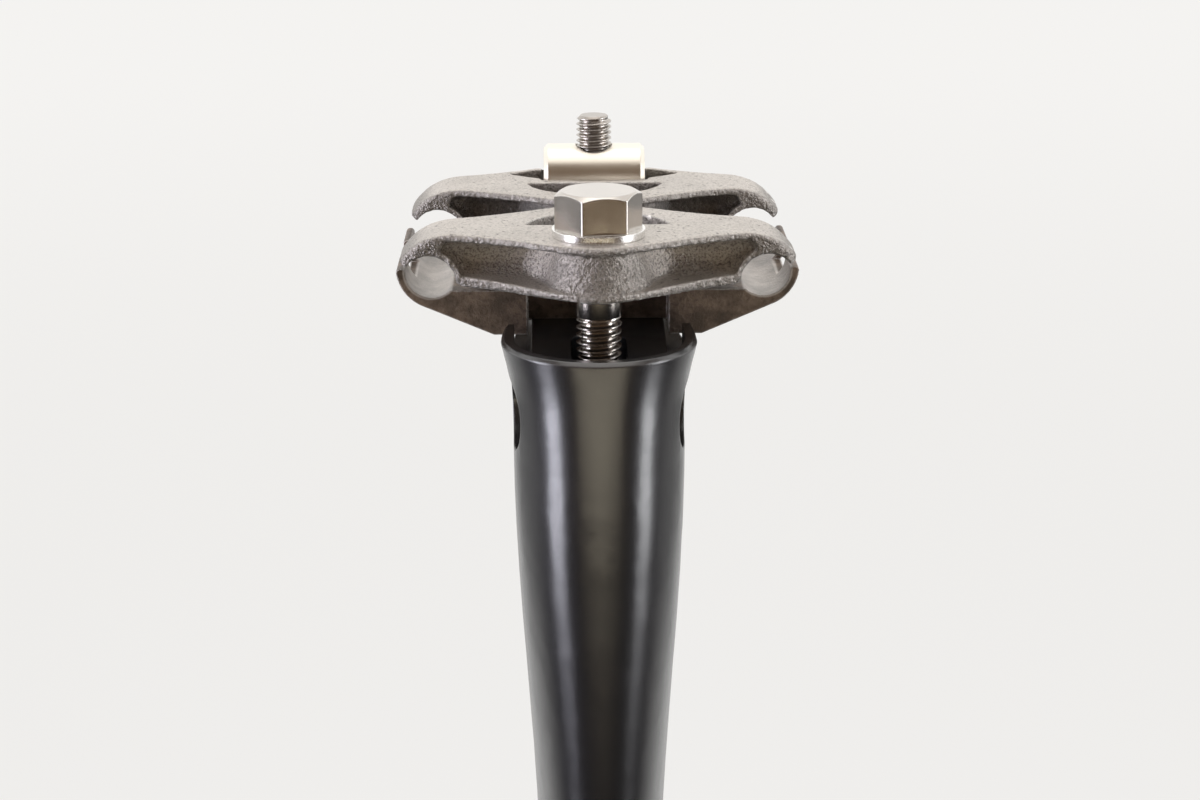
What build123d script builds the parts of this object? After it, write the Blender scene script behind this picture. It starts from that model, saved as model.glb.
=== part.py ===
"""Bicycle seatpost: oval shaft, bored head and a two-bolt clamp for the saddle rails.

Millimetres. The origin is the middle of the shaft's lower end, +Z runs up the shaft,
+X is the rider's left and +Y points to the back of the bicycle. The clamp's own
measures are taken from the point midway between the rails, over the tilt axis.
"""

import os

from build123d import *

os.makedirs("parts", exist_ok=True)

# Whole post
rail_height = 350.0
setback = 14.7

# Saddle rails
rail_diameter = 7.0
rail_spacing = 44.0

# Tilt axis of the clamp, below the rails, and the play of its round seat
tilt_drop = 16.8
seat_radius = 11.5
seat_play = 0.08

# Shaft
shaft_width = 17.0
shaft_depth = 38.0
shaft_wall = 2.3
shaft_chamfer = 0.5
bore_drop = 65.0
straight_drop = 86.0

# Head of the post
rim_drop = 6.9
shelf_drop = 9.9
shelf_margin = 1.2
rim_width = 25.6
neck_width = 22.6
neck_drop = 22.5
neck_nose = 15.0
neck_steps = 4
head_tail = 27.5
nose_reach = 33.7
rim_wall = 1.7
rim_bevel = 0.5
bead_flares = (0.0, 0.06, 0.15, 0.25, 0.58, 1.0)
seat_width = 17.6
ramp_rise = 2.6
ramp_end = 9.2
cross_hole_diameter = 10.2
slot_width = 7.2
slot_length = 12.8
slot_room = 2.0

# Ear behind the head
ear_radius = 8.5
ear_root_drop = 56.0
ear_root_radius = 4.0
ear_root_reach = 10.0
ear_root_share = 0.93
ear_seat_margin = 2.0
throat_sink = 1.0
ear_slot_play = 0.7
ear_slot_travel = 1.8

# Bolts
bolt_reach = 20.5
front_bolt_diameter = 6.0
front_bolt_length = 35.0
hex_across_flats = 10.0
hex_height = 4.9
hex_top_diameter = 9.4
hex_bevel = 0.58
hex_turn = 8.5
rear_bolt_diameter = 5.0
rear_bolt_length = 31.8
cap_diameter = 8.5
cap_height = 5.0
key_across_flats = 4.0
key_depth = 2.6
tip_chamfer = 0.6
bolt_play = 0.3
nut_play = 0.15

# Washers and nuts
washer_diameter = 12.0
washer_thickness = 1.0
front_nut_length = 19.0
front_nut_play = 0.05
rear_nut_diameter = 9.4
rear_nut_length = 14.4
rear_nut_sink = 0.5
nut_bevel = 0.6
seat_washer_radius = 4.6
seat_washer_length = 11.0
seat_washer_play = 0.06

# Yokes
yoke_top = 6.6
yoke_bottom = 0.8
yoke_half_length = 26.0
yoke_outer = 28.3
yoke_inner = 0.4
hook_outer = 19.7
hook_inner = 8.7
hook_tip_width = 6.4
hook_tip_height = 1.7
hook_tip_thickness = 1.1
hook_fall = 0.75
shoulder_x = 18.4
shoulder_slope = 0.32
hook_end_slope = 0.45
heel_width = 1.2
yoke_bevel = 0.4
flange_top = 1.1
flange_bottom = 0.9
lip_top_angle = 110.0
lip_low_angle = 165.0
web_top_angle = 142.0
web_low_angle = 156.0
web_inset = 1.3
web_slope_depth = 1.5
web_outer = 17.0
web_inner = 11.4
boss_top_margin = 1.6
boss_top_spread = 10.5
boss_foot_margin = 0.3
boss_foot_spread = 14.0
boss_sink = 0.5
recess_width = 18.8
recess_depth = 8.0
recess_offset = 6.8
recess_wall = 1.4
trough_length = 24.0
trough_width = 10.4
trough_depth = 2.4
trough_wall = 1.1

# Cradle
cradle_half_length = 12.6
cradle_top = 2.6
cradle_bottom = 8.6
lip_thickness = 1.2
lip_round = 0.5
cup_ease = 1.0
lip_height = 0.4
lip_gap = 9.0
keel_half_width = 13.8
notch_width = 18.8
notch_end = 7.4

# Places worked out from the sizes above
rail_radius = rail_diameter / 2
rail_x = rail_spacing / 2
tilt_height = rail_height - tilt_drop
rim_height = rail_height - rim_drop
neck_height = rail_height - neck_drop
straight_height = rail_height - straight_drop
half_shaft = shaft_depth / 2
front_bolt_y = setback - bolt_reach
rear_bolt_y = setback + bolt_reach
nose_y = setback - nose_reach
long_cut = 4 * yoke_half_length

# Least upward lean of a face that counts as top
top_lean = 0.3

# Looking along +Y with Z up, and looking along -X with Z up, both from the rail centre
front_view = Plane(origin=(0, setback, rail_height), x_dir=(1, 0, 0), z_dir=(0, -1, 0))
side_view = Plane(origin=(0, setback, rail_height), x_dir=(0, 1, 0), z_dir=(1, 0, 0))
plan_view = Plane(origin=(0, setback, rail_height))


def egg_section(level, half_width, nose_length, tail_length):
    """Closed section of the post at one height: a short nose and a long tail, both half ellipses."""
    middle = nose_y + nose_length
    lengthwise = Plane(origin=(0, middle, level), x_dir=(0, 1, 0), z_dir=(0, 0, 1))
    with BuildSketch(lengthwise) as section:
        with BuildLine():
            EllipticalCenterArc((0, 0), nose_length, half_width, 90, arc_size=180)
            EllipticalCenterArc((0, 0), tail_length, half_width, 270, arc_size=180)
        make_face()
    return section.sketch


def neck_sizes(drop):
    """Half width, nose and tail of the post at a height between the straight shaft and the neck."""
    share = (straight_drop - drop) / (straight_drop - neck_drop)
    swell = share * share * (3 - 2 * share)
    half_width = (shaft_width + swell * (neck_width - shaft_width)) / 2
    nose_length = half_shaft + swell * (neck_nose - half_shaft)
    tail_length = half_shaft + swell * (head_tail - half_shaft)
    return half_width, nose_length, tail_length


def hollow_outline(plane, inset, top_angle, low_angle):
    """Front view of a hollow of the yoke: it follows the flanges and ends round the rails."""
    with BuildSketch(plane) as outline:
        with BuildLine():
            round_rail = rail_radius + flange_bottom + inset
            curl = CenterArc((rail_x, 0), round_rail, top_angle, low_angle - top_angle)
            top = yoke_top - flange_top - inset
            Polyline(
                curl @ 1,
                (0, flange_bottom + inset - yoke_bottom),
                (-(curl @ 1).X, (curl @ 1).Y),
            )
            Polyline(
                curl @ 0,
                ((curl @ 0).X - flange_bottom, top),
                (flange_bottom - (curl @ 0).X, top),
                (-(curl @ 0).X, (curl @ 0).Y),
            )
            mirror(curl, about=Plane.YZ)
        make_face()
    return outline.sketch


def yoke_casting():
    """The front yoke without its bolt hole: plan outline and front profile, then the hollows."""
    groove_start = (rail_x - rail_radius, 0)
    groove_crown = (rail_x, rail_radius)
    tip_offset = (rail_radius**2 - hook_tip_height**2) ** 0.5
    groove_tip = (rail_x + tip_offset, hook_tip_height)
    hook_middle = (hook_outer + hook_inner) / 2
    tip_near = -hook_middle - hook_tip_width / 2
    tip_far = -hook_middle + hook_tip_width / 2
    with BuildPart() as casting:
        # Plan outline, swelling to the middle on both sides
        with BuildSketch(plan_view.offset(-yoke_bottom)):
            with BuildLine():
                outer = Spline(
                    (-shoulder_x, -hook_outer),
                    (0, -yoke_outer),
                    (shoulder_x, -hook_outer),
                    tangents=((1, -shoulder_slope), (1, shoulder_slope)),
                )
                right = Spline(
                    outer @ 1,
                    (yoke_half_length, tip_near),
                    tangents=((1, shoulder_slope), (hook_end_slope, 1)),
                )
                tip = Line(right @ 1, (yoke_half_length, tip_far))
                Spline(
                    tip @ 1,
                    (shoulder_x, -hook_inner),
                    tangents=((-hook_end_slope, 1), (-1, shoulder_slope)),
                )
                inner = Spline(
                    (shoulder_x, -hook_inner),
                    (0, -yoke_inner),
                    (-shoulder_x, -hook_inner),
                    tangents=((-1, shoulder_slope), (-1, -shoulder_slope)),
                )
                left = Spline(
                    inner @ 1,
                    (-yoke_half_length, tip_far),
                    tangents=((-1, -shoulder_slope), (-hook_end_slope, -1)),
                )
                left_tip = Line(left @ 1, (-yoke_half_length, tip_near))
                Spline(
                    left_tip @ 1,
                    outer @ 0,
                    tangents=((hook_end_slope, -1), (1, -shoulder_slope)),
                )
            make_face()
        extrude(amount=yoke_top + yoke_bottom)
        # Front profile: flat top, hooks that wrap the rails, shallow keel below
        with BuildSketch(front_view):
            with BuildLine():
                top = Line((0, yoke_top), (shoulder_x, yoke_top))
                hook = Spline(
                    top @ 1,
                    (yoke_half_length, hook_tip_height + hook_tip_thickness),
                    tangents=((1, 0), (hook_fall, -1)),
                )
                tip_end = Line(hook @ 1, groove_tip)
                groove = ThreePointArc(tip_end @ 1, groove_crown, groove_start)
                heel = Line(groove @ 1, (rail_x - rail_radius - heel_width, -yoke_bottom / 2))
                Line(heel @ 1, (0, -yoke_bottom))
                mirror(about=Plane.YZ)
            make_face()
        extrude(amount=long_cut, both=True, mode=Mode.INTERSECT)
        # Edge broken all round the top
        top_faces = casting.faces().filter_by(lambda face: face.normal_at().Z > top_lean)
        chamfer(top_faces.edges().filter_by(Axis.Y, reverse=True), yoke_bevel)
        # Hollows between the flanges, on the outer and on the inner face, sloping in to the web all round
        for floor, toward in ((web_outer, 1), (web_inner, -1)):
            for depth, inset, top_angle, low_angle in (
                (0, web_inset, web_top_angle, web_low_angle),
                (web_slope_depth, 0, lip_top_angle, lip_low_angle),
                (yoke_outer, 0, lip_top_angle, lip_low_angle),
            ):
                section_plane = front_view.offset(floor + toward * depth)
                add(hollow_outline(section_plane, inset, top_angle, low_angle))
            loft(ruled=True, mode=Mode.SUBTRACT)
        # Boss round the bolt: a swelling of the web that spreads from under the washer to the keel
        for level, margin, spread in (
            (-yoke_bottom / 2, boss_foot_margin, boss_foot_spread),
            (yoke_top - flange_top / 2, boss_top_margin, boss_top_spread),
        ):
            with BuildSketch(plan_view.offset(level)):
                with BuildLine():
                    root = Vector(-spread, boss_sink - web_outer)
                    nose = Vector(0, margin - yoke_outer)
                    rise = TangentArc(root, (root + nose) / 2, tangent=(1, 0))
                    TangentArc(rise @ 1, nose, tangent=rise % 1)
                    Polyline(root, (-spread, -web_inner), (0, -web_inner))
                    mirror(about=Plane.YZ)
                make_face()
        loft(ruled=True)
        # Cup that hangs in the inner hollow round the half-moon recess in the top
        recess_y = recess_offset - bolt_reach
        for wall, level, mode in (
            (recess_wall, -yoke_bottom / 2, Mode.ADD),
            (0, recess_wall - yoke_bottom, Mode.SUBTRACT),
        ):
            with BuildSketch(plan_view.offset(level)):
                with BuildLine():
                    edge = Line(
                        (-recess_width / 2 - wall, recess_y),
                        (recess_width / 2 + wall, recess_y),
                    )
                    ThreePointArc(edge @ 1, (0, recess_y + recess_depth + wall), edge @ 0)
                make_face()
            extrude(amount=yoke_top - level - (flange_top / 2 if wall else 0), mode=mode)
    return casting.part


def lens_outline(wall):
    """Plan of the rear yoke's trough, at the yoke's top, grown by a wall on every side."""
    length = trough_length + 2 * wall
    width = trough_width + 2 * wall
    lens_radius = (length**2 + width**2) / (4 * width)
    with BuildSketch(plan_view.offset(yoke_top)) as outline:
        with Locations((0, bolt_reach + width / 2 - lens_radius)):
            Circle(lens_radius)
        with Locations((0, bolt_reach - width / 2 + lens_radius)):
            Circle(lens_radius, mode=Mode.INTERSECT)
    return outline.sketch


def dish_outline(level):
    """Plan of the dish inside the front rim: a round nose with straight sides behind it."""
    nose_radius = rim_width / 2 - rim_wall
    with BuildSketch(Plane.XY.offset(level)) as outline:
        with Locations((0, nose_y + rim_width / 2)):
            Circle(nose_radius)
            Rectangle(2 * nose_radius, nose_reach, align=(Align.CENTER, Align.MIN))
        with Locations((0, setback - notch_end)):
            Rectangle(long_cut, long_cut, align=(Align.CENTER, Align.MIN), mode=Mode.SUBTRACT)
    return outline.sketch


# Ramp in the dish, from behind the rim up to the round seat
with BuildPart() as ramp:
    add(dish_outline(tilt_height))
    extrude(amount=tilt_drop)
    with BuildSketch(side_view):
        with BuildLine():
            Polyline(
                (rim_wall - nose_reach, -shelf_drop),
                (-ramp_end, -shelf_drop + ramp_rise),
                (-ramp_end, -tilt_drop),
                (rim_wall - nose_reach, -tilt_drop),
                close=True,
            )
        make_face()
    extrude(amount=seat_width / 2, both=True, mode=Mode.INTERSECT)

# Ear behind the head: a tongue that narrows to a round end, cut hollow below by the throat
with BuildPart() as ear:
    ear_root_width = 2 * neck_sizes(ear_root_drop)[0]
    shaft_back = half_shaft - setback - throat_sink
    ear_end = bolt_reach + ear_radius
    throat_top = bolt_reach - seat_washer_radius - ear_seat_margin
    shelf_width = neck_width + bead_flares[-2] * (rim_width - neck_width)
    for drop, head_width, radius, end in (
        (shelf_drop, shelf_width, ear_radius - rim_bevel, ear_end - rim_bevel),
        (shelf_drop + rim_bevel, shelf_width, ear_radius, ear_end),
        (neck_drop, neck_width, ear_radius, ear_end),
        (ear_root_drop, ear_root_width, ear_root_radius, shaft_back),
    ):
        with BuildSketch(plan_view.offset(-drop)):
            with Locations((0, end - radius)):
                Circle(radius)
            with Locations((0, -ear_root_reach)):
                Rectangle(ear_root_share * head_width, ear_root_reach, align=(Align.CENTER, Align.MAX))
            make_hull()
    loft(ruled=True)
    with BuildSketch(side_view):
        with BuildLine():
            ear_base = Line((ear_end, -tilt_drop), (throat_top, -tilt_drop))
            throat = Spline(
                ear_base @ 1,
                (shaft_back, -ear_root_drop),
                tangents=((-1, 0), (0, -1)),
            )
            Polyline(
                throat @ 1,
                (-nose_reach, -ear_root_drop),
                (-nose_reach, -shelf_drop),
                (ear_end, -shelf_drop),
                ear_base @ 0,
            )
        make_face()
    extrude(amount=rim_width, both=True, mode=Mode.INTERSECT)

# Post: straight oval shaft, head lofted to a round nose, ear behind
with BuildPart() as post:
    add(egg_section(0, shaft_width / 2, half_shaft, half_shaft))
    extrude(amount=straight_height)
    chamfer(post.edges().group_by(Axis.Z)[0], shaft_chamfer)
    for step in range(neck_steps + 1):
        drop = straight_drop + (neck_drop - straight_drop) * step / neck_steps
        add(egg_section(rail_height - drop, *neck_sizes(drop)))
    loft()
    # Head above the neck, rolled out to the rim at even steps
    for step, flare in enumerate(bead_flares):
        level = neck_height + (rim_height - neck_height) * step / (len(bead_flares) - 1)
        head_half_width = (neck_width + flare * (rim_width - neck_width)) / 2
        head_nose = neck_nose + flare * (rim_width / 2 - neck_nose)
        add(egg_section(level, head_half_width, head_nose, head_tail))
    loft()
    chamfer(post.edges().group_by(Axis.Z)[-1], rim_bevel)
    add(ear.part)
    # Shelf under the cradle, lower than the front rim
    with BuildSketch(plan_view.offset(-shelf_drop)):
        with Locations((0, -cradle_half_length - shelf_margin)):
            Rectangle(long_cut, long_cut, align=(Align.CENTER, Align.MIN))
    extrude(amount=shelf_drop, mode=Mode.SUBTRACT)
    # Dish behind the front rim, with a floor that climbs to the round seat of the cradle
    add(dish_outline(rim_height))
    extrude(amount=rim_drop - shelf_drop, mode=Mode.SUBTRACT)
    add(ramp.part)
    with BuildSketch(side_view):
        with Locations((0, -tilt_drop)):
            Circle(seat_radius - seat_play)
            Rectangle(2 * seat_radius, seat_radius, align=(Align.CENTER, Align.MAX), mode=Mode.SUBTRACT)
    extrude(amount=seat_width / 2, both=True)
    # Cross hole for the front nut, slot for the front bolt, slot for the rear bolt
    with BuildSketch(side_view):
        with Locations((-bolt_reach, -tilt_drop)):
            Circle(cross_hole_diameter / 2)
    extrude(amount=rim_width, both=True, mode=Mode.SUBTRACT)
    front_bolt_tip = rail_height + yoke_top + washer_thickness - front_bolt_length
    with BuildSketch(Plane.XY.offset(front_bolt_tip - slot_room)):
        with Locations((0, front_bolt_y)):
            SlotOverall(slot_length, slot_width, rotation=90)
    extrude(amount=rail_height - front_bolt_tip, mode=Mode.SUBTRACT)
    ear_slot_width = rear_bolt_diameter + 2 * ear_slot_play
    with BuildSketch(Plane.XY.offset(tilt_height)):
        with Locations((0, rear_bolt_y)):
            SlotOverall(ear_slot_width + ear_slot_travel, ear_slot_width, rotation=90)
    extrude(amount=tilt_drop, mode=Mode.SUBTRACT)
    # Round seat under the ear for the half-round washer
    with BuildSketch(side_view):
        with Locations((bolt_reach, -tilt_drop)):
            Circle(seat_washer_radius + seat_washer_play)
    extrude(amount=rim_width, both=True, mode=Mode.SUBTRACT)
    # Hollow of the shaft, open at the lower end
    with BuildSketch():
        Ellipse(shaft_width / 2 - shaft_wall, half_shaft - shaft_wall)
    extrude(amount=rail_height - bore_drop, mode=Mode.SUBTRACT)
post.part.label = "post"
export_step(post.part, "parts/post.step")

# Lower cradle: four rail seats on a keel that rocks on the post's round seat
with BuildPart() as lower_cradle:
    seat_edge = (rail_radius**2 - cradle_top**2) ** 0.5
    lip_reach = (rail_radius**2 - lip_height**2) ** 0.5
    with BuildSketch(front_view):
        with BuildLine():
            deck = Line((0, -cradle_top), (rail_x - seat_edge, -cradle_top))
            seat = ThreePointArc(
                deck @ 1,
                (rail_x, -rail_radius),
                (rail_x + lip_reach, lip_height),
            )
            lip = Line(seat @ 1, (rail_x + lip_reach + lip_thickness, lip_height))
            cup = RadiusArc(
                lip @ 1,
                (rail_x + cup_ease, -rail_radius - lip_thickness),
                rail_radius + lip_thickness + cup_ease,
            )
            Polyline(cup @ 1, (keel_half_width, -cradle_bottom), (0, -cradle_bottom))
            mirror(about=Plane.YZ)
        make_face()
    extrude(amount=cradle_half_length, both=True)
    with BuildSketch(side_view):
        with Locations((0, -tilt_drop)):
            Circle(seat_radius)
    extrude(amount=rail_spacing, both=True, mode=Mode.SUBTRACT)
    # Notches for the bolts at both ends, and the gap between the near and far lips
    for end in (-1, 1):
        with BuildSketch(plan_view):
            with Locations((0, end * notch_end)):
                Rectangle(notch_width, long_cut, align=(Align.CENTER, Align.MAX if end < 0 else Align.MIN))
        extrude(amount=tilt_drop, both=True, mode=Mode.SUBTRACT)
    with BuildSketch(plan_view.offset(-cradle_top)):
        with Locations((rail_x + rail_radius / 2, 0), (-rail_x - rail_radius / 2, 0)):
            Rectangle(2 * rail_radius, lip_gap)
    extrude(amount=tilt_drop, mode=Mode.SUBTRACT)
    fillet(lower_cradle.edges().filter_by(Axis.Y).group_by(Axis.Z)[-1], lip_round)
lower_cradle.part.label = "lower_cradle"
export_step(lower_cradle.part, "parts/lower_cradle.step")

# Front yoke: the casting with a plain hole for the bolt
with BuildPart() as front_yoke:
    add(yoke_casting())
    with Locations((0, front_bolt_y, rail_height + yoke_top)):
        Hole(front_bolt_diameter / 2 + bolt_play)
front_yoke.part.label = "front_yoke"
export_step(front_yoke.part, "parts/front_yoke.step")

# Rear yoke: the same casting turned round, with a lens-shaped trough for the nut
nut_height = rail_height + yoke_top - rear_nut_sink
with BuildPart() as rear_yoke:
    add(yoke_casting().mirror(Plane.XZ.offset(-setback)))
    add(lens_outline(trough_wall))
    extrude(amount=-trough_depth - trough_wall)
    add(lens_outline(0))
    extrude(amount=-trough_depth, mode=Mode.SUBTRACT)
    with BuildSketch(Plane.YZ):
        with Locations((rear_bolt_y, nut_height)):
            Circle(rear_nut_diameter / 2)
    extrude(amount=rear_nut_length / 2 + bolt_play, both=True, mode=Mode.SUBTRACT)
    with Locations((0, rear_bolt_y, rail_height + yoke_top)):
        Hole(rear_bolt_diameter / 2 + bolt_play)
rear_yoke.part.label = "rear_yoke"
export_step(rear_yoke.part, "parts/rear_yoke.step")

# Front bolt: hexagon head with a turned top, plain shank down to its tip
head_seat = rail_height + yoke_top + washer_thickness
hex_bevel_run = hex_across_flats - hex_top_diameter / 2
with BuildPart() as front_bolt:
    with BuildSketch(Plane.XY.offset(head_seat)):
        with Locations((0, front_bolt_y)):
            RegularPolygon(hex_across_flats / 2, 6, major_radius=False, rotation=hex_turn)
    extrude(amount=hex_height)
    # The head's top is turned to a bevel
    with BuildSketch(Plane(origin=(0, front_bolt_y, head_seat), x_dir=(1, 0, 0), z_dir=(0, -1, 0))):
        Polygon(
            (0, 0),
            (hex_across_flats, 0),
            (hex_across_flats, hex_height - hex_bevel * hex_bevel_run),
            (hex_top_diameter / 2, hex_height),
            (0, hex_height),
            align=None,
        )
    revolve(axis=Axis((0, front_bolt_y, head_seat), (0, 0, 1)), mode=Mode.INTERSECT)
    with BuildSketch(Plane.XY.offset(head_seat)):
        with Locations((0, front_bolt_y)):
            Circle(front_bolt_diameter / 2)
    extrude(amount=-front_bolt_length)
    chamfer(front_bolt.edges().group_by(Axis.Z)[0], tip_chamfer)
front_bolt.part.label = "front_bolt"
export_step(front_bolt.part, "parts/front_bolt.step")

with BuildPart() as front_washer:
    with BuildSketch(Plane.XY.offset(rail_height + yoke_top)):
        with Locations((0, front_bolt_y)):
            Circle(washer_diameter / 2)
            Circle(front_bolt_diameter / 2 + bolt_play, mode=Mode.SUBTRACT)
    extrude(amount=washer_thickness)
front_washer.part.label = "front_washer"
export_step(front_washer.part, "parts/front_washer.step")


def barrel_nut(axis_y, axis_z, diameter, length, bolt_diameter):
    """Short round bar across the post, bored for the bolt, with bevelled ends."""
    with BuildPart() as nut:
        with BuildSketch(Plane.YZ):
            with Locations((axis_y, axis_z)):
                Circle(diameter / 2)
        extrude(amount=length / 2, both=True)
        chamfer(nut.edges().filter_by(GeomType.CIRCLE), nut_bevel)
        with Locations((0, axis_y, axis_z + diameter / 2)):
            Hole(bolt_diameter / 2 + nut_play)
    return nut.part


with BuildPart() as front_barrel_nut:
    front_nut_diameter = cross_hole_diameter - 2 * front_nut_play
    add(barrel_nut(front_bolt_y, tilt_height, front_nut_diameter, front_nut_length, front_bolt_diameter))
front_barrel_nut.part.label = "front_barrel_nut"
export_step(front_barrel_nut.part, "parts/front_barrel_nut.step")

with BuildPart() as rear_barrel_nut:
    add(barrel_nut(rear_bolt_y, nut_height, rear_nut_diameter, rear_nut_length, rear_bolt_diameter))
rear_barrel_nut.part.label = "rear_barrel_nut"
export_step(rear_barrel_nut.part, "parts/rear_barrel_nut.step")

# Rear bolt: socket head under the ear, shank up through the nut
with BuildPart() as rear_bolt:
    with BuildSketch(Plane.XY.offset(tilt_height)):
        with Locations((0, rear_bolt_y)):
            Circle(rear_bolt_diameter / 2)
    extrude(amount=rear_bolt_length)
    chamfer(rear_bolt.edges().group_by(Axis.Z)[-1], tip_chamfer)
    with BuildSketch(Plane.XY.offset(tilt_height)):
        with Locations((0, rear_bolt_y)):
            Circle(cap_diameter / 2)
    extrude(amount=-cap_height)
    with BuildSketch(Plane.XY.offset(tilt_height - cap_height)):
        with Locations((0, rear_bolt_y)):
            RegularPolygon(key_across_flats / 2, 6, major_radius=False)
    extrude(amount=key_depth, mode=Mode.SUBTRACT)
rear_bolt.part.label = "rear_bolt"
export_step(rear_bolt.part, "parts/rear_bolt.step")

# Half-round washer: its round back rocks in the ear, its flat carries the bolt head
with BuildPart() as rear_seat_washer:
    with BuildSketch(side_view):
        with BuildLine():
            flat = Line(
                (bolt_reach - seat_washer_radius, -tilt_drop),
                (bolt_reach + seat_washer_radius, -tilt_drop),
            )
            ThreePointArc(flat @ 1, (bolt_reach, seat_washer_radius - tilt_drop), flat @ 0)
        make_face()
    extrude(amount=seat_washer_length / 2, both=True)
    with Locations((0, rear_bolt_y, tilt_height + seat_washer_radius)):
        Hole(rear_bolt_diameter / 2 + nut_play)
rear_seat_washer.part.label = "rear_seat_washer"
export_step(rear_seat_washer.part, "parts/rear_seat_washer.step")
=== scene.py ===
import math

import bmesh
import bpy
from bpy.props import FloatProperty, FloatVectorProperty, IntProperty, PointerProperty
from mathutils import Matrix, Vector, noise


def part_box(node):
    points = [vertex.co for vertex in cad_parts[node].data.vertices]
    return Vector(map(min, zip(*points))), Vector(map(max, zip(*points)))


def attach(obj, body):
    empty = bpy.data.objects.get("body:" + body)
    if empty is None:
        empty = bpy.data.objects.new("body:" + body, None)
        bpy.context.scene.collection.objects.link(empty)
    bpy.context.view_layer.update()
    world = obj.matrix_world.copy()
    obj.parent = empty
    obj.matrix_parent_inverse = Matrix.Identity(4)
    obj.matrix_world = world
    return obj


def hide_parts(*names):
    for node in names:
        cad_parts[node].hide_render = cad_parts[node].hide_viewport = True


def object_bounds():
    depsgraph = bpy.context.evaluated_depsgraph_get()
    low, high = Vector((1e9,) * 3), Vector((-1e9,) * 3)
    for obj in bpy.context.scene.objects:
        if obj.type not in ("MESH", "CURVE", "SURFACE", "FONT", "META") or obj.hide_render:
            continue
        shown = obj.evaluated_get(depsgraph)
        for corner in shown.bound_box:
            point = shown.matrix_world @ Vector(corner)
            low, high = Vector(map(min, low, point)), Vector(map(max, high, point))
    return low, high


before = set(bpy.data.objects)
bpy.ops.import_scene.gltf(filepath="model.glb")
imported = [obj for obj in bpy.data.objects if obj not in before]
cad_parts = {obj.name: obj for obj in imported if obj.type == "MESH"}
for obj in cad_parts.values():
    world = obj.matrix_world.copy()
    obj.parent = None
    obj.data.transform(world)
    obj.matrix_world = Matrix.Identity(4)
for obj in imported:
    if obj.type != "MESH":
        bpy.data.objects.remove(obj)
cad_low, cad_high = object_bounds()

bl_info = {
    "name": "Seatpost dresser",
    "version": (1, 0, 0),
    "blender": (4, 5, 0),
    "location": "View3D > Sidebar > Seatpost",
    "description": "Cast yokes, cut threads, finishes and a pale studio for the packed bicycle seatpost",
    "category": "Object",
}

# Photograph: picture size in pixels, and the fitted camera in degrees, metres and pixels
PICTURE_WIDTH = 1200
CAMERA_YAW = 0.900
CAMERA_PITCH = 16.411
CAMERA_ROLL = -0.231
CAMERA_PLACE = (-0.00489, -0.32335, 0.42809)
CAMERA_FOCUS = 2531.9
SENSOR_WIDTH = 36.0

# Saddle rails, in metres: distance from the middle, height and radius
RAIL_ASIDE = 0.022
RAIL_HEIGHT = 0.350
RAIL_RADIUS = 0.0035

# Yokes: CAD node, name of its finish, and the tone painted into its hollows against the cast grey: above 1
# is painted light that offsets the hollows' shade, below 1 is painted shade
YOKES = (("front_yoke", "cast_metal", 1.7), ("rear_yoke", "cast_metal_painted_shade", 0.35))

# Bolts, in metres: bevel at the tip, broken corners, and how far the shank runs into its neighbours
TIP_BEVEL = 0.0006
CORNER_BREAK = 0.0002
SHANK_OVERLAP = 0.0002

# Meshes: points this close are one, in metres, and edges over this angle stay sharp
WELD = 1e-6
SHARP_ANGLE = math.radians(28.0)

# Stage: gap under the post in metres, share of the floor that is drawn plain, and the lamps' beam
FLOOR_GAP = 0.0002
PLAIN_SHARE = 0.86
LAMP_BEAM = math.radians(130.0)


# Settings


class SeatpostFinish(bpy.types.PropertyGroup):
    """Colours and grain of the seatpost's metals."""

    post_black: FloatVectorProperty(
        name="Post black",
        description="Satin black of the shaft and head",
        subtype="COLOR",
        default=(0.010, 0.010, 0.011),
        min=0.0,
        max=1.0,
    )
    cast_grey: FloatVectorProperty(
        name="Cast grey",
        description="Blasted cast metal of the two yokes",
        subtype="COLOR",
        default=(0.50, 0.465, 0.43),
        min=0.0,
        max=1.0,
    )
    # On the yokes this colour also paints a highlight along the upper edges
    worn_edge: FloatVectorProperty(
        name="Worn edge",
        description="Bright metal where edges and rail seats are rubbed bare",
        subtype="COLOR",
        default=(0.82, 0.79, 0.76),
        min=0.0,
        max=1.0,
    )
    cradle_bronze: FloatVectorProperty(
        name="Cradle bronze",
        description="Brown grey coat of the lower cradle",
        subtype="COLOR",
        default=(0.15, 0.112, 0.085),
        min=0.0,
        max=1.0,
    )
    bolt_steel: FloatVectorProperty(
        name="Bolt steel",
        description="Plain steel of the bolts",
        subtype="COLOR",
        default=(0.53, 0.49, 0.45),
        min=0.0,
        max=1.0,
    )
    washer_silver: FloatVectorProperty(
        name="Washer silver",
        description="Bright plating of the washers",
        subtype="COLOR",
        default=(0.80, 0.79, 0.77),
        min=0.0,
        max=1.0,
    )
    nut_nickel: FloatVectorProperty(
        name="Nut nickel",
        description="Creamy satin nickel of the barrel nuts",
        subtype="COLOR",
        default=(0.84, 0.79, 0.70),
        min=0.0,
        max=1.0,
    )
    # The yokes' upper edges found over this radius carry wear and a painted highlight
    edge_round: FloatProperty(
        name="Edge round",
        description="Radius over which the yokes' upper edges are found for their wear",
        unit="LENGTH",
        default=0.0007,
        min=0.00005,
        max=0.002,
    )
    cast_voxel: FloatProperty(
        name="Cast mesh",
        description="Mesh width of the yokes' skin",
        unit="LENGTH",
        default=0.00028,
        min=0.0002,
        max=0.001,
    )
    cast_blur: IntProperty(
        name="Cast blur",
        description="How often the yokes' skin is smoothed",
        default=8,
        min=0,
        max=40,
    )
    cast_lump: FloatProperty(
        name="Cast lumps",
        description="Depth of the lumps left by the mould",
        unit="LENGTH",
        default=0.00014,
        min=0.0,
        max=0.0005,
    )
    cast_grain: FloatProperty(
        name="Cast grain",
        description="Size of the lumps left by the mould",
        unit="LENGTH",
        default=0.0008,
        min=0.0002,
        max=0.004,
    )


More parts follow.
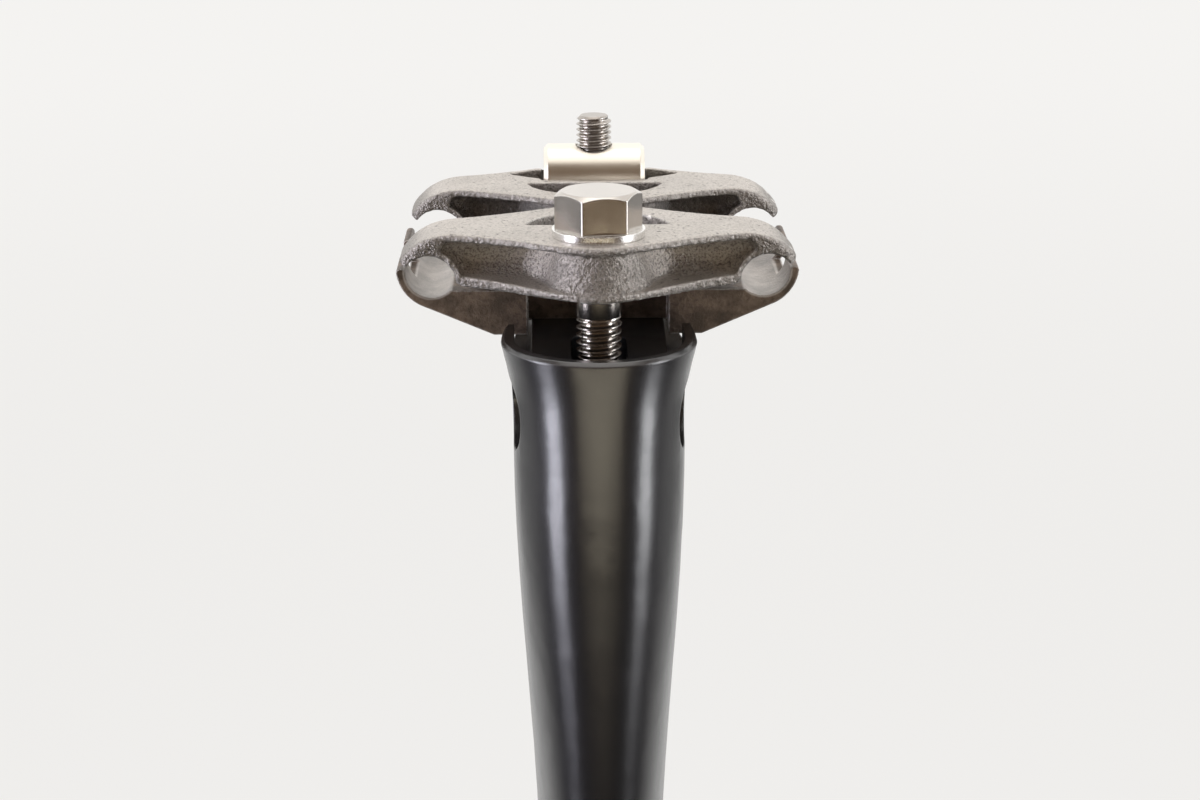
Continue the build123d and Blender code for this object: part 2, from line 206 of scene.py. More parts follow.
class SeatpostThreads(bpy.types.PropertyGroup):
    """Sizes of the cut threads and of the bolts' heads."""

    front_pitch: FloatProperty(
        name="Front pitch",
        description="Pitch of the front bolt's thread",
        unit="LENGTH",
        default=0.001,
        min=0.0005,
        max=0.002,
    )
    front_diameter: FloatProperty(
        name="Front diameter",
        description="Outer diameter of the front bolt's thread",
        unit="LENGTH",
        default=0.006,
        min=0.004,
        max=0.008,
    )
    front_plain: FloatProperty(
        name="Front plain shank",
        description="Smooth length under the hexagon head",
        unit="LENGTH",
        default=0.0115,
        min=0.0,
        max=0.03,
    )
    hex_flats: FloatProperty(
        name="Across flats",
        description="Width of the hexagon head across its flats",
        unit="LENGTH",
        default=0.010,
        min=0.008,
        max=0.013,
    )
    hex_turn: FloatProperty(
        name="Head turn",
        description="How far the hexagon head is turned about its bolt",
        subtype="ANGLE",
        default=math.radians(8.5),
    )
    rear_pitch: FloatProperty(
        name="Rear pitch",
        description="Pitch of the rear bolt's thread",
        unit="LENGTH",
        default=0.0008,
        min=0.0004,
        max=0.002,
    )
    rear_diameter: FloatProperty(
        name="Rear diameter",
        description="Outer diameter of the rear bolt's thread",
        unit="LENGTH",
        default=0.005,
        min=0.003,
        max=0.006,
    )
    rear_plain: FloatProperty(
        name="Rear plain shank",
        description="Smooth length over the socket head",
        unit="LENGTH",
        default=0.009,
        min=0.0,
        max=0.03,
    )
    cap_height: FloatProperty(
        name="Cap height",
        description="Height of the rear bolt's socket head",
        unit="LENGTH",
        default=0.005,
        min=0.003,
        max=0.008,
    )
    key_flats: FloatProperty(
        name="Key flats",
        description="Width of the key socket across its flats",
        unit="LENGTH",
        default=0.004,
        min=0.002,
        max=0.006,
    )
    thread_steps: IntProperty(
        name="Steps a turn",
        description="Straight steps in each turn of a thread",
        default=40,
        min=12,
        max=96,
    )


class SeatpostStage(bpy.types.PropertyGroup):
    """Floor, room and lamps round the seatpost."""

    floor_colour: FloatVectorProperty(
        name="Floor",
        description="Pale floor, which also makes the picture's background",
        subtype="COLOR",
        default=(0.94, 0.933, 0.918),
        min=0.0,
        max=1.0,
    )
    floor_width: FloatProperty(
        name="Floor width",
        description="Side of the floor",
        unit="LENGTH",
        default=14.0,
        min=1.0,
        max=50.0,
    )
    mirror_brown: FloatVectorProperty(
        name="Front brown",
        description="Dim brown room before the seatpost, seen only in its mirroring faces",
        subtype="COLOR",
        default=(0.15, 0.10, 0.062),
        min=0.0,
        max=1.0,
    )
    mirror_dark: FloatVectorProperty(
        name="Front dark",
        description="Shade on the floor before the seatpost, seen only in its mirroring faces",
        subtype="COLOR",
        default=(0.012, 0.011, 0.010),
        min=0.0,
        max=1.0,
    )
    room_strength: FloatProperty(
        name="Room strength",
        description="Brightness of the white room behind the seatpost",
        default=1.35,
        min=0.0,
        max=5.0,
    )


# Shader sums


class Value:
    """A socket that takes part in Python sums. Every sum adds its Math node."""

    def __init__(self, finish, socket):
        self.finish = finish
        self.socket = socket

    def sum(self, operation, first, second):
        return self.finish.node("ShaderNodeMath", {"operation": operation}, {0: first, 1: second})

    def __add__(self, other):
        return self.sum("ADD", self, other)

    def __radd__(self, other):
        return self.sum("ADD", other, self)

    def __sub__(self, other):
        return self.sum("SUBTRACT", self, other)

    def __rsub__(self, other):
        return self.sum("SUBTRACT", other, self)

    def __mul__(self, other):
        return self.sum("MULTIPLY", self, other)

    def __rmul__(self, other):
        return self.sum("MULTIPLY", other, self)

    def __pow__(self, other):
        return self.sum("POWER", self, other)

    def larger(self, other):
        return self.sum("MAXIMUM", self, other)


class Finish:
    """A node tree with one method that adds any node, and short words for the ones used most."""

    def __init__(self, tree):
        self.tree = tree

    def feed(self, socket, value):
        if isinstance(value, Value):
            self.tree.links.new(value.socket, socket)
        else:
            socket.default_value = value

    def node(self, kind, settings=None, inputs=None, output=0):
        node = self.tree.nodes.new(kind)
        for name, setting in (settings or {}).items():
            setattr(node, name, setting)
        for name, value in (inputs or {}).items():
            self.feed(node.inputs[name], value)
        return Value(self, node.outputs[output])

    def place(self):
        return self.node("ShaderNodeTexCoord", output="Object")

    def along(self, axis, vector):
        """One axis of a vector."""
        return self.node("ShaderNodeSeparateXYZ", None, {0: vector}, axis)

    def noise(self, grain, detail=2.0, rough=0.5):
        """Cloudy noise from 0 to 1, with lumps of about one grain, in metres."""
        return self.node(
            "ShaderNodeTexNoise",
            {"noise_dimensions": "3D"},
            {"Vector": self.place(), "Scale": 1.0 / grain, "Detail": detail, "Roughness": rough},
        )

    def step(self, value, low, high):
        """0 under low, 1 over high, smooth between."""
        return self.node(
            "ShaderNodeMapRange",
            {"interpolation_type": "SMOOTHSTEP"},
            {"Value": value, "From Min": low, "From Max": high},
        )

    def blend(self, share, first, second):
        """First colour at 0, second colour at 1. A Mix node's colours are inputs 6 and 7 and output 2."""
        start, end = (tone if isinstance(tone, Value) else (*tone, 1.0) for tone in (first, second))
        return self.node("ShaderNodeMix", {"data_type": "RGBA"}, {0: share, 6: start, 7: end}, 2)

    def rounded(self, radius):
        """Normal that turns softly over the edges."""
        return self.node("ShaderNodeBevel", {"samples": 6}, {"Radius": radius})

    def edge(self, radius):
        """1 on the outer edges, 0 on the flats and in the corners."""
        soft = self.rounded(radius)
        sharp = self.node("ShaderNodeNewGeometry", output="Normal")
        product = {"operation": "DOT_PRODUCT"}
        likeness = self.node("ShaderNodeVectorMath", product, {0: soft, 1: sharp}, "Value")
        return self.step(1.0 - likeness, 0.01, 0.16)

    def bump(self, height, distance, strength=1.0, normal=None):
        inputs = {"Height": height, "Distance": distance, "Strength": strength}
        if normal is not None:
            inputs["Normal"] = normal
        return self.node("ShaderNodeBump", None, inputs)


def coat(name, **sockets):
    """A material whose Principled sockets are filled later, with constants set on it at once."""
    material = bpy.data.materials.new(name)
    material.use_nodes = True
    shader = material.node_tree.nodes["Principled BSDF"]
    for socket, value in sockets.items():
        shader.inputs[socket.replace("_", " ")].default_value = value
    return material, shader, Finish(material.node_tree)


def paint(node, material):
    """Gives a CAD node its finish."""
    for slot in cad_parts[node].material_slots:
        slot.material = material


# Finishes


def satin_black(finish_sizes):
    """Satin black coat: fine grain like orange peel, a faint cloud, paler rubbed edges."""
    material, shader, finish = coat("satin_black", Metallic=0.0, IOR=1.6, Specular_IOR_Level=0.9)
    peel = finish.noise(0.00030, 1.0)
    cloud = finish.noise(0.012, 3.0)
    rub = finish.edge(0.00035) * finish.step(finish.noise(0.003, 3.0), 0.35, 0.7)
    black = Vector(finish_sizes.post_black)
    colour = finish.blend(cloud, black * 0.8, black * 1.3)
    colour = finish.blend(rub * 0.5, colour, black * 6.0)
    finish.feed(shader.inputs["Base Color"], colour)
    finish.feed(shader.inputs["Roughness"], 0.21 + 0.05 * peel + 0.03 * cloud)
    normal = finish.bump(peel, 0.00002, 0.4, finish.rounded(0.00035))
    finish.feed(shader.inputs["Normal"], normal)
    return material


def cast_metal(name, finish_sizes, hollow_light_and_shade):
    """Blasted casting: pitted tops painted pale, partly their finer finish and partly painted light; grainy
    sides painted darker; hollows in a painted tone of their own; creases painted darker as shade; ridges
    rubbed bright, with a painted highlight on the upper ones.
    """
    material, shader, finish = coat(name)
    grain = finish_sizes.cast_grain
    lumps = finish.noise(grain, 3.0, 0.6)
    sand = finish.noise(grain * 0.4, 2.0, 0.6)
    pits = 1.0 - finish.step(finish.noise(grain * 0.75, 2.0, 0.5), 0.27, 0.40)
    cloud = finish.noise(0.006, 3.0)
    face = finish.node("ShaderNodeNewGeometry", output="Normal")
    flat_top = finish.step(finish.along("Z", face), 0.70, 0.95)
    soft = finish.rounded(finish_sizes.edge_round)
    upward = finish.step(finish.along("Z", soft), 0.1, 0.5)
    open_air = finish.node("ShaderNodeAmbientOcclusion", {"samples": 6}, {"Distance": 0.005}, "AO")
    shaded_hollow = 1.0 - finish.step(open_air, 0.25, 0.85)
    ridge = finish.node("ShaderNodeNewGeometry", output="Pointiness")
    # Ridges rubbed bright: partly real wear, partly a painted highlight that is stronger where the rounded
    # edge faces up
    wear_and_edge_sheen = finish.step(ridge, 0.515, 0.57) * (0.35 + 0.65 * upward) * finish.step(sand, 0.20, 0.50)
    crease_shade = 1.0 - finish.step(ridge, 0.43, 0.495)
    grey = Vector(finish_sizes.cast_grey)
    # Painted light and shade: open sides darker, occluded hollows in the yoke's own painted tone, lighter
    # than the sides on the front yoke and darker on the rear yoke
    colour = finish.blend(shaded_hollow, grey * 0.62, grey * hollow_light_and_shade)
    # Upward faces painted pale: partly their finer finish, partly painted light from above
    colour = finish.blend(flat_top, colour, grey * 1.12)
    colour = finish.blend(finish.step(cloud, 0.35, 0.75) * 0.3, colour, grey * 0.7)
    colour = finish.blend(finish.step(sand, 0.44, 0.66) * (0.7 - 0.4 * flat_top), colour, grey * 0.28)
    colour = finish.blend(pits * flat_top * 0.8, colour, grey * 0.25)
    # Painted shade in the concave creases of the sides
    colour = finish.blend(crease_shade * (1.0 - flat_top) * 0.45, colour, grey * 0.22)
    colour = finish.blend(wear_and_edge_sheen * 0.9, colour, finish_sizes.worn_edge)
    finish.feed(shader.inputs["Base Color"], colour)
    finish.feed(shader.inputs["Metallic"], 0.9 - 0.4 * shaded_hollow)
    finish.feed(shader.inputs["Roughness"], 0.42 + 0.16 * sand - 0.12 * wear_and_edge_sheen)
    relief = lumps * (1.0 - 0.8 * flat_top) - 0.2 * pits
    coarse = finish.bump(relief, 0.0004, 0.8)
    finish.feed(shader.inputs["Normal"], finish.bump(sand, 0.0002, 0.9, coarse))
    return material


def cradle_coat(finish_sizes):
    """Stained brown coat on the cradle, rubbed bare on its edges and where the rails lie."""
    material, shader, finish = coat("cradle_coat")
    speck = finish.noise(0.0007, 4.0, 0.65)
    stain = finish.noise(0.0035, 4.0, 0.6)
    across = finish.along("X", finish.place())
    aside = (across * across) ** 0.5 - RAIL_ASIDE
    above = finish.along("Z", finish.place()) - RAIL_HEIGHT
    from_rail = (aside * aside + above * above) ** 0.5 - RAIL_RADIUS
    bare = 1.0 - finish.step(from_rail, 0.0001, 0.0004)
    edge = finish.edge(0.0004) * finish.step(speck, 0.3, 0.6)
    brown = Vector(finish_sizes.cradle_bronze)
    colour = finish.blend(finish.step(stain, 0.35, 0.65), brown * 0.55, brown * 1.25)
    colour = finish.blend(finish.step(speck, 0.45, 0.70) * 0.6, colour, brown * 0.35)
    rubbed = (edge * 0.7).larger(bare * (0.25 + 0.5 * stain))
    colour = finish.blend(rubbed, colour, finish_sizes.worn_edge)
    finish.feed(shader.inputs["Base Color"], colour)
    finish.feed(shader.inputs["Metallic"], 0.40 + 0.55 * rubbed)
    finish.feed(shader.inputs["Roughness"], 0.40 + 0.20 * speck)
    normal = finish.bump(speck, 0.00025, 0.7, finish.rounded(0.0003))
    finish.feed(shader.inputs["Normal"], normal)
    return material


def turned_metal(name, colour, roughness, cloud_share=0.12):
    """Machined and plated metal: faint cloud, fine scratches and softly broken edges with a painted
    highlight along them.
    """
    material, shader, finish = coat(name, Metallic=1.0)
    cloud = finish.noise(0.0025, 3.0)
    hair = finish.noise(0.00012, 1.0)
    shade = Vector(colour)
    # Painted highlight along the outer edges
    edge_highlight = (0.93, 0.92, 0.90)
    tone = finish.blend(cloud, shade * (1.0 - cloud_share), shade * (1.0 + cloud_share / 2))
    tone = finish.blend(finish.edge(0.00025) * 0.5, tone, edge_highlight)
    finish.feed(shader.inputs["Base Color"], tone)
    finish.feed(shader.inputs["Roughness"], roughness + 0.10 * hair + 0.08 * cloud)
    normal = finish.bump(hair, 0.000008, 0.5, finish.rounded(0.00022))
    finish.feed(shader.inputs["Normal"], normal)
    return material


# Pieces in bmesh


def cut_thread(bm, centre, low, high, radius, pitch, steps, tip_up):
    """Winds one pitch of thread profile up the axis, trims it at both heights and closes its ends."""
    root = radius - 0.6 * pitch
    profile = ((root, 0.0), (radius, 0.34), (radius, 0.46), (root, 0.80), (root, 1.0))
    start = low - pitch
    points = [bm.verts.new((centre.x + reach, centre.y, start + part * pitch)) for reach, part in profile]
    strip = [bm.edges.new(pair) for pair in zip(points, points[1:])]
    turns = math.ceil((high - low) / pitch) + 2
    bmesh.ops.spin(
        bm,
        geom=points + strip,
        cent=(centre.x, centre.y, 0.0),
        axis=(0.0, 0.0, 1.0),
        dvec=(0.0, 0.0, pitch / steps),
        angle=2.0 * math.pi * turns,
        steps=steps * turns,
    )
    bmesh.ops.remove_doubles(bm, verts=bm.verts[:], dist=pitch / 1000.0)
    for height, clear_below in ((low, True), (high, False)):
        bmesh.ops.bisect_plane(
            bm,
            geom=bm.verts[:] + bm.edges[:] + bm.faces[:],
            dist=pitch / 1000.0,
            plane_co=(0.0, 0.0, height),
            plane_no=(0.0, 0.0, 1.0),
            clear_inner=clear_below,
            clear_outer=not clear_below,
        )
    tip = high if tip_up else low
    for vert in bm.verts:
        limit = radius - TIP_BEVEL + abs(vert.co.z - tip)
        offset = Vector((vert.co.x - centre.x, vert.co.y - centre.y))
        if offset.length > limit:
            offset *= limit / offset.length
            vert.co.x = centre.x + offset.x
            vert.co.y = centre.y + offset.y
    bmesh.ops.holes_fill(bm, edges=[edge for edge in bm.edges if edge.is_boundary], sides=0)


def plain_shank(bm, centre, low, high, radius):
    """Smooth round length between the head and the thread, with a small bevel at both ends."""
    bmesh.ops.create_cone(
        bm,
        cap_ends=True,
        segments=64,
        radius1=radius,
        radius2=radius,
        depth=high - low,
        matrix=Matrix.Translation((centre.x, centre.y, (low + high) / 2.0)),
    )
    rims = [edge for edge in bm.edges if abs(edge.verts[0].co.z - edge.verts[1].co.z) < WELD]
    bmesh.ops.bevel(
        bm,
        geom=rims,
        offset=radius / 10.0,
        affect="EDGES",
        segments=2,
        profile=0.5,
        material=-1,
    )


def hexagon_ring(bm, centre, height, flats, turn, around):
    """Ring of edges at one height: a circle whose points are pushed out to a hexagon."""
    made = bmesh.ops.create_circle(
        bm,
        cap_ends=False,
        segments=around,
        radius=flats / 2.0,
        matrix=Matrix.Translation((centre.x, centre.y, height)) @ Matrix.Rotation(turn, 4, "Z"),
    )
    for vert in made["verts"]:
        out = Vector((vert.co.x - centre.x, vert.co.y - centre.y))
        lean = (math.atan2(out.y, out.x) - turn) % (math.pi / 3.0) - math.pi / 6.0
        out /= math.cos(lean)
        vert.co.x = centre.x + out.x
        vert.co.y = centre.y + out.y
    return list({edge for vert in made["verts"] for edge in vert.link_edges})


def pull(bm, edges, move):
    """Extrudes a ring of edges and moves its copy vertex by vertex."""
    made = bmesh.ops.extrude_edge_only(bm, edges=edges)["geom"]
    for vert in made:
        if isinstance(vert, bmesh.types.BMVert):
            vert.co = move(vert.co)
    return [edge for edge in made if isinstance(edge, bmesh.types.BMEdge)]


def hexagon_head(bm, centre, low, high, flats, turn):
    """Hexagon head whose top is turned to a bevel, so each side ends in an arc."""
    crown = flats * 0.47
    lean = math.tan(math.radians(30.0))

    def reach(point):
        return Vector((point.x - centre.x, point.y - centre.y))

    def to_bevel(point):
        return Vector((point.x, point.y, high - (reach(point).length - crown) * lean))

    def to_crown(point):
        inward = reach(point).normalized() * crown
        return Vector((centre.x + inward.x, centre.y + inward.y, high))

    base = hexagon_ring(bm, centre, low, flats, turn, 72)
    side = pull(bm, base, to_bevel)
    crown_ring = pull(bm, side, to_crown)
    bmesh.ops.edgeloop_fill(bm, edges=base)
    bmesh.ops.edgeloop_fill(bm, edges=crown_ring)
    bmesh.ops.recalc_face_normals(bm, faces=bm.faces[:])
    corners = [
        edge
        for edge in bm.edges
        if abs((edge.verts[0].co - edge.verts[1].co).normalized().z) > 0.999
        and abs(min(vert.co.z for vert in edge.verts) - low) < WELD
        and len(edge.link_faces) == 2
        and edge.calc_face_angle() > math.radians(40.0)
    ]
    bmesh.ops.bevel(
        bm,
        geom=corners,
        offset=CORNER_BREAK,
        affect="EDGES",
        segments=3,
        profile=0.5,
        material=-1,
    )


def socket_cap(bm, centre, low, high, radius, key_flats, key_depth):
    """Round head with a ribbed side and a hexagon key socket from below."""
    around = 48
    rim = radius * 0.1
    rib = radius * 0.04
    socket = hexagon_ring(bm, centre, low, key_flats, 0.0, around)
    made = bmesh.ops.create_circle(
        bm,
        cap_ends=False,
        segments=around,
        radius=radius - rim,
        matrix=Matrix.Translation((centre.x, centre.y, low)),
    )
    face_ring = list({edge for vert in made["verts"] for edge in vert.link_edges})
    bmesh.ops.bridge_loops(bm, edges=socket + face_ring)

    def ribbed(height, depth):
        def move(point):
            out = Vector((point.x - centre.x, point.y - centre.y))
            place = round(math.atan2(out.y, out.x) / (2.0 * math.pi) * around)
            out = out.normalized() * (radius - depth * (place % 2))
            return Vector((centre.x + out.x, centre.y + out.y, height))

        return move

    def deeper(point):
        return Vector((point.x, point.y, low + key_depth))

    floor = pull(bm, socket, deeper)
    bmesh.ops.edgeloop_fill(bm, edges=floor)
    lower = pull(bm, face_ring, ribbed(low + rim, rib))
    upper = pull(bm, lower, ribbed(high - rim * 0.8, rib))
    top = pull(bm, upper, ribbed(high, 0.0))
    bmesh.ops.edgeloop_fill(bm, edges=top)


def piece_from(bm, name, material, sharp_angle):
    """Turns a finished bmesh into an object, smooth but for its sharp edges."""
    bmesh.ops.recalc_face_normals(bm, faces=bm.faces[:])
    for face in bm.faces:
        face.smooth = True
    for edge in bm.edges:
        edge.smooth = len(edge.link_faces) != 2 or edge.calc_face_angle() < sharp_angle
    mesh = bpy.data.meshes.new(name)
    bm.to_mesh(mesh)
    bm.free()
    piece = bpy.data.objects.new(name, mesh)
    mesh.materials.append(material)
    bpy.context.scene.collection.objects.link(piece)
    return piece


def cast_piece(node, name, material, sizes):
    """Copy of a CAD casting with edges blurred and lumps left in its sides, as a mould leaves them."""
    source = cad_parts[node]
    bm = bmesh.new()
    bm.from_mesh(source.data)
    bm.transform(source.matrix_world)
    bmesh.ops.remove_doubles(bm, verts=bm.verts[:], dist=WELD)
    pattern = piece_from(bm, name + "_pattern", material, math.pi)
    skin = pattern.modifiers.new("skin", "REMESH")
    skin.voxel_size = sizes.cast_voxel
    blur = pattern.modifiers.new("blur", "SMOOTH")
    blur.iterations = sizes.cast_blur
    ready = pattern.evaluated_get(bpy.context.evaluated_depsgraph_get())
    mesh = bpy.data.meshes.new_from_object(ready)
    bpy.data.objects.remove(pattern)
    bm = bmesh.new()
    bm.from_mesh(mesh)
    bpy.data.meshes.remove(mesh)
    bm.normal_update()
    for vert in bm.verts:
        lump = min(max(0.5 + 0.5 * noise.fractal(vert.co / sizes.cast_grain, 0.8, 2.0, 2), 0.0), 1.0)
        side = 1.0 - 0.75 * max(0.0, vert.normal.z)
        vert.co -= vert.normal * lump * side * sizes.cast_lump
    return piece_from(bm, name, material, math.pi)


def add_bmesh(bm, other):
    """Adds the second bmesh to the first, and frees it."""
    mesh = bpy.data.meshes.new("shell")
    other.to_mesh(mesh)
    other.free()
    bm.from_mesh(mesh)
    bpy.data.meshes.remove(mesh)


# Operators


class SEATPOST_OT_post(bpy.types.Operator):
    """Finish the shaft and head in satin black"""

    bl_idname = "seatpost.post"
    bl_label = "Finish the post"

    def execute(self, context):
        paint("post", satin_black(context.scene.seatpost_finish))
        return {"FINISHED"}


class SEATPOST_OT_yokes(bpy.types.Operator):
    """Build both yokes as blasted castings"""

    bl_idname = "seatpost.yokes"
    bl_label = "Build the yokes"

    def execute(self, context):
        sizes = context.scene.seatpost_finish
        for node, finish_name, hollow_light_and_shade in YOKES:
            material = cast_metal(finish_name, sizes, hollow_light_and_shade)
            yoke = cast_piece(node, node + "_cast", material, sizes)
            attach(yoke, "clamp")
            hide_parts(node)
        return {"FINISHED"}


class SEATPOST_OT_cradle(bpy.types.Operator):
    """Finish the lower cradle in brown grey"""

    bl_idname = "seatpost.cradle"
    bl_label = "Finish the cradle"

    def execute(self, context):
        paint("lower_cradle", cradle_coat(context.scene.seatpost_finish))
        return {"FINISHED"}


class SEATPOST_OT_nuts(bpy.types.Operator):
    """Finish the barrel nuts and the washers"""

    bl_idname = "seatpost.nuts"
    bl_label = "Finish nuts and washers"

    def execute(self, context):
        sizes = context.scene.seatpost_finish
        nickel = turned_metal("satin_nickel", sizes.nut_nickel, 0.24, 0.06)
        silver = turned_metal("washer_silver", sizes.washer_silver, 0.18)
        paint("rear_barrel_nut", nickel)
        paint("front_barrel_nut", nickel)
        paint("front_washer", silver)
        paint("rear_seat_washer", silver)
        return {"FINISHED"}


class SEATPOST_OT_front_bolt(bpy.types.Operator):
    """Build the front bolt with its hexagon head and cut thread"""

    bl_idname = "seatpost.front_bolt"
    bl_label = "Build the front bolt"

    def execute(self, context):
        sizes = context.scene.seatpost_threads
        low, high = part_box("front_bolt")
        washer_low, washer_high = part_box("front_washer")
        seat = washer_high.z
        centre = (washer_low + washer_high) / 2.0
        radius = sizes.front_diameter / 2.0
        thread_top = seat - sizes.front_plain
        bm = bmesh.new()
        cut_thread(bm, centre, low.z, thread_top, radius, sizes.front_pitch, sizes.thread_steps, False)
        shank = bmesh.new()
        plain_shank(shank, centre, thread_top - SHANK_OVERLAP, seat + SHANK_OVERLAP, radius)
        add_bmesh(bm, shank)
        head = bmesh.new()
        hexagon_head(head, centre, seat, high.z, sizes.hex_flats, sizes.hex_turn)
        add_bmesh(bm, head)
        steel = turned_metal("bolt_steel", context.scene.seatpost_finish.bolt_steel, 0.10)
        bolt = piece_from(bm, "front_bolt_cut", steel, SHARP_ANGLE)
        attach(bolt, "clamp")
        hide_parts("front_bolt")
        return {"FINISHED"}


class SEATPOST_OT_rear_bolt(bpy.types.Operator):
    """Build the rear bolt with its socket head and cut thread"""

    bl_idname = "seatpost.rear_bolt"
    bl_label = "Build the rear bolt"

    def execute(self, context):
        sizes = context.scene.seatpost_threads
        low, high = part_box("rear_bolt")
        centre = (low + high) / 2.0
        radius = sizes.rear_diameter / 2.0
        seat = low.z + sizes.cap_height
        thread_low = seat + sizes.rear_plain
        bm = bmesh.new()
        cut_thread(bm, centre, thread_low, high.z, radius, sizes.rear_pitch, sizes.thread_steps, True)
        shank = bmesh.new()
        plain_shank(shank, centre, seat - SHANK_OVERLAP, thread_low + SHANK_OVERLAP, radius)
        add_bmesh(bm, shank)
        cap = bmesh.new()
        key_depth = sizes.cap_height * 0.52
        socket_cap(cap, centre, low.z, seat, (high.x - low.x) / 2.0, sizes.key_flats, key_depth)
        add_bmesh(bm, cap)
        steel = turned_metal("rear_bolt_steel", Vector(context.scene.seatpost_finish.bolt_steel) * 0.8, 0.26)
        bolt = piece_from(bm, "rear_bolt_cut", steel, SHARP_ANGLE)
        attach(bolt, "rear_bolt")
        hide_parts("rear_bolt")
        return {"FINISHED"}


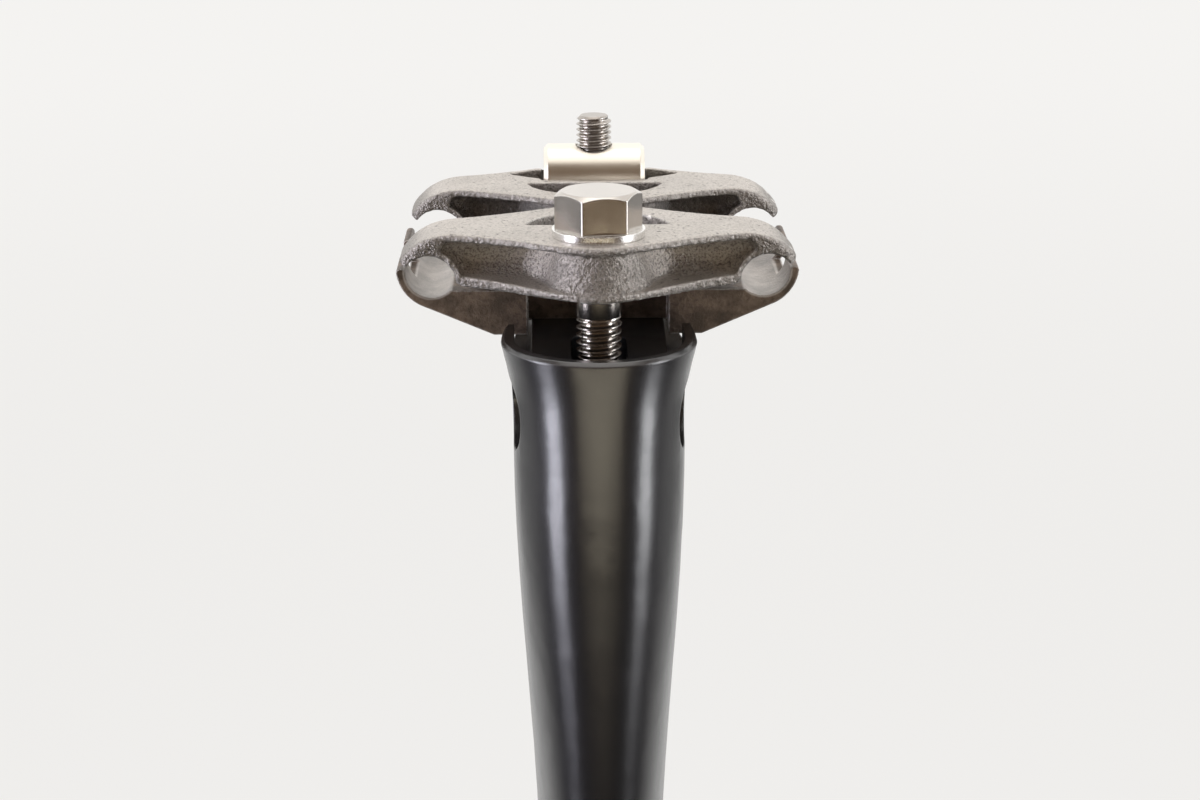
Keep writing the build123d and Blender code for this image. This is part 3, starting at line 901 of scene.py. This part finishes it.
class SEATPOST_OT_stage(bpy.types.Operator):
    """Set the pale floor, the room, the lamps and the camera"""

    bl_idname = "seatpost.stage"
    bl_label = "Set the stage"

    def execute(self, context):
        sizes = context.scene.seatpost_stage
        self.lay_floor(sizes)
        self.light_room(context, sizes)
        self.hang_lamps()
        self.place_camera(context)
        context.scene.view_settings.view_transform = "Standard"
        return {"FINISHED"}

    def rays(self, finish):
        """1 for rays from the camera or through glass, and 1 for rays from mirroring faces."""
        kinds = ("Is Camera Ray", "Is Transmission Ray", "Is Glossy Ray")
        camera, clear, glossy = (finish.node("ShaderNodeLightPath", output=kind) for kind in kinds)
        return camera.larger(clear), glossy

    def lay_floor(self, sizes):
        bm = bmesh.new()
        bmesh.ops.create_grid(bm, x_segments=8, y_segments=8, size=sizes.floor_width / 2.0)
        bmesh.ops.translate(bm, verts=bm.verts[:], vec=(0.0, 0.0, cad_low.z - FLOOR_GAP))
        mesh = bpy.data.meshes.new("pale_floor")
        bm.to_mesh(mesh)
        bm.free()
        floor = bpy.data.objects.new("pale_floor", mesh)
        bpy.context.scene.collection.objects.link(floor)
        pale = Vector(sizes.floor_colour)
        material, shader, finish = coat("pale_floor", Base_Color=(*pale, 1.0), Roughness=0.9)
        camera, glossy = self.rays(finish)
        # Painted light and shade on the floor: the camera sees it darker towards the front and brighter far
        # behind; mirroring faces see dark shade just before the post, dim brown further out, and behind it
        # the pale floor painted darker off to the sides
        behind = finish.along("Y", finish.place())
        aside = finish.along("X", finish.place())
        front = finish.blend(finish.step(0.0 - behind, 0.55, 1.15), sizes.mirror_dark, sizes.mirror_brown)
        back = finish.blend(finish.step(aside * aside, 0.06, 0.45), pale, pale * 0.40)
        mirrored = finish.blend(finish.step(behind, 0.05, 0.40), front, back)
        pale_with_falloff = finish.blend(finish.step(behind, 0.3, 2.5), pale * 0.925, pale * 1.015)
        seen = finish.blend(camera, mirrored, pale_with_falloff)
        glow = finish.node("ShaderNodeEmission", None, {"Color": seen, "Strength": 1.0})
        share = camera * PLAIN_SHARE + glossy
        lit = Value(finish, shader.outputs[0])
        mixed = finish.node("ShaderNodeMixShader", None, {0: share, 1: lit, 2: glow})
        finish.feed(finish.tree.nodes["Material Output"].inputs["Surface"], mixed)
        mesh.materials.append(material)

    def light_room(self, context, sizes):
        world = bpy.data.worlds.new("pale_room")
        world.use_nodes = True
        context.scene.world = world
        finish = Finish(world.node_tree)
        camera = self.rays(finish)[0]
        toward = finish.node("ShaderNodeTexCoord", output="Generated")
        white = finish.step(finish.along("Y", toward), -0.05, 0.25)
        room = finish.blend(white, sizes.mirror_brown, sizes.floor_colour)
        seen = finish.blend(camera, room, sizes.floor_colour)
        strength = 1.0 + (1.0 - camera) * white * (sizes.room_strength - 1.0)
        background = finish.tree.nodes["Background"]
        finish.feed(background.inputs["Color"], seen)
        finish.feed(background.inputs["Strength"], strength)

    def hang_lamps(self):
        target = Vector((0.0, 0.0, cad_high.z - 0.03))
        lamps = (
            ("top_box", (0.0, -0.05, 1.15), (0.9, 0.80), 1.75, (1.0, 0.985, 0.96)),
            ("left_box", (-0.60, -0.16, 0.405), (0.24, 0.70), 2.35, (0.89, 0.89, 1.0)),
            ("right_box", (0.60, -0.15, 0.415), (0.22, 0.70), 1.75, (0.96, 0.97, 1.0)),
            ("low_box", (0.0, -0.30, 0.248), (0.42, 0.026), 0.062, (1.0, 0.92, 0.72)),
        )
        for name, place, size, power, colour in lamps:
            lamp = bpy.data.lights.new(name, "AREA")
            lamp.shape = "RECTANGLE"
            lamp.size, lamp.size_y = size
            lamp.energy = power
            lamp.color = colour
            lamp.spread = LAMP_BEAM
            hung = bpy.data.objects.new(name, lamp)
            hung.location = place
            hung.visible_camera = False
            hung.rotation_euler = (target - Vector(place)).to_track_quat("-Z", "Y").to_euler()
            bpy.context.scene.collection.objects.link(hung)

    def place_camera(self, context):
        yaw, pitch, roll = (math.radians(angle) for angle in (CAMERA_YAW, CAMERA_PITCH, CAMERA_ROLL))
        ahead = Vector((math.sin(yaw) * math.cos(pitch), math.cos(yaw) * math.cos(pitch), -math.sin(pitch)))
        level = Vector((math.cos(yaw), -math.sin(yaw), 0.0))
        upright = level.cross(ahead)
        right = level * math.cos(roll) + upright * math.sin(roll)
        up = upright * math.cos(roll) - level * math.sin(roll)
        lens = bpy.data.cameras.new("photo_camera")
        lens.sensor_fit = "HORIZONTAL"
        lens.sensor_width = SENSOR_WIDTH
        lens.lens = CAMERA_FOCUS * SENSOR_WIDTH / PICTURE_WIDTH
        lens.clip_start = 0.01
        camera = bpy.data.objects.new("photo_camera", lens)
        turn = Matrix((right, up, -ahead)).transposed().to_4x4()
        camera.matrix_world = Matrix.Translation(CAMERA_PLACE) @ turn
        context.scene.collection.objects.link(camera)
        context.scene.camera = camera


class SEATPOST_PT_panel(bpy.types.Panel):
    """Lists the seatpost's pieces and their sizes"""

    bl_idname = "SEATPOST_PT_panel"
    bl_label = "Seatpost"
    bl_space_type = "VIEW_3D"
    bl_region_type = "UI"
    bl_category = "Seatpost"

    def draw(self, context):
        layout = self.layout
        for operator in OPERATORS:
            layout.operator(operator.bl_idname)
        for group in (
            context.scene.seatpost_finish,
            context.scene.seatpost_threads,
            context.scene.seatpost_stage,
        ):
            box = layout.box()
            for name in group.__annotations__:
                box.prop(group, name)


GROUPS = (SeatpostFinish, SeatpostThreads, SeatpostStage)
OPERATORS = (
    SEATPOST_OT_post,
    SEATPOST_OT_yokes,
    SEATPOST_OT_cradle,
    SEATPOST_OT_nuts,
    SEATPOST_OT_front_bolt,
    SEATPOST_OT_rear_bolt,
    SEATPOST_OT_stage,
)


def register():
    for group in GROUPS + OPERATORS + (SEATPOST_PT_panel,):
        bpy.utils.register_class(group)
    bpy.types.Scene.seatpost_finish = PointerProperty(type=SeatpostFinish)
    bpy.types.Scene.seatpost_threads = PointerProperty(type=SeatpostThreads)
    bpy.types.Scene.seatpost_stage = PointerProperty(type=SeatpostStage)


def unregister():
    del bpy.types.Scene.seatpost_stage
    del bpy.types.Scene.seatpost_threads
    del bpy.types.Scene.seatpost_finish
    for group in reversed(GROUPS + OPERATORS + (SEATPOST_PT_panel,)):
        bpy.utils.unregister_class(group)


def main():
    register()
    bpy.ops.seatpost.post()
    bpy.ops.seatpost.yokes()
    bpy.ops.seatpost.cradle()
    bpy.ops.seatpost.nuts()
    bpy.ops.seatpost.front_bolt()
    bpy.ops.seatpost.rear_bolt()
    bpy.ops.seatpost.stage()


if __name__ == "__main__":
    main()
